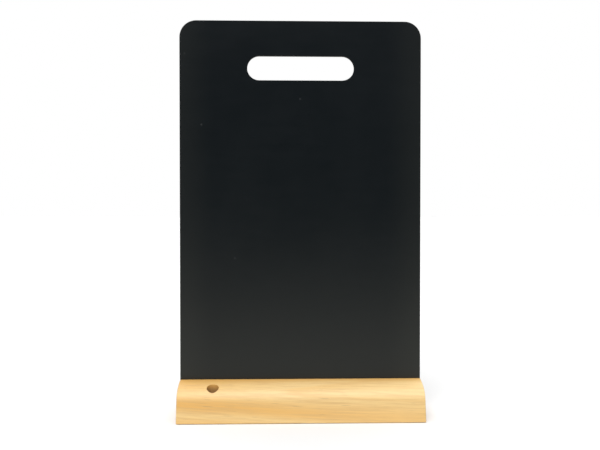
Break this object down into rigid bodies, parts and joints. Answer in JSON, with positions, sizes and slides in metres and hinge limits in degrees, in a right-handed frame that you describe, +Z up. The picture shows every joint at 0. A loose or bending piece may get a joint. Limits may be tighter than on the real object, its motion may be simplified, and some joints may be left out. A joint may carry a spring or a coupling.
{
  "type": "tabletop chalkboard",
  "caption": "Tabletop menu chalkboard: a black writing panel with a grip slot that lifts out of a grooved pine base with a drilled hole for a chalk marker.",
  "frame": {"origin": "on the surface that the board stands on, under the centre of the base", "axes": "+X along the base, to the right of somebody reading the board; the reader is on the -Y side; +Z up, and out of the groove"},
  "size_m": [0.21, 0.0598, 0.3434],
  "materials": {
    "pine": "clear satin lacquer on planed pine",
    "fibreboard": "cut edge of hardboard, sealed black",
    "writing_surface": "satin near-black laminate",
    "felt": "dense pressed felt"
  },
  "bodies": {
    "base": {"base_block": "pine", "felt_pad_front_left": "felt", "felt_pad_rear_left": "felt", "felt_pad_front_right": "felt", "felt_pad_rear_right": "felt"},
    "board": {"panel_core": "fibreboard", "front_writing_sheet": "writing_surface", "rear_writing_sheet": "writing_surface"}
  },
  "joints": [
    {"name": "board_lift", "type": "slide", "parent": "base", "child": "board", "axis": [0, 0, 1], "range_m": [0, 0.04]}
  ]
}
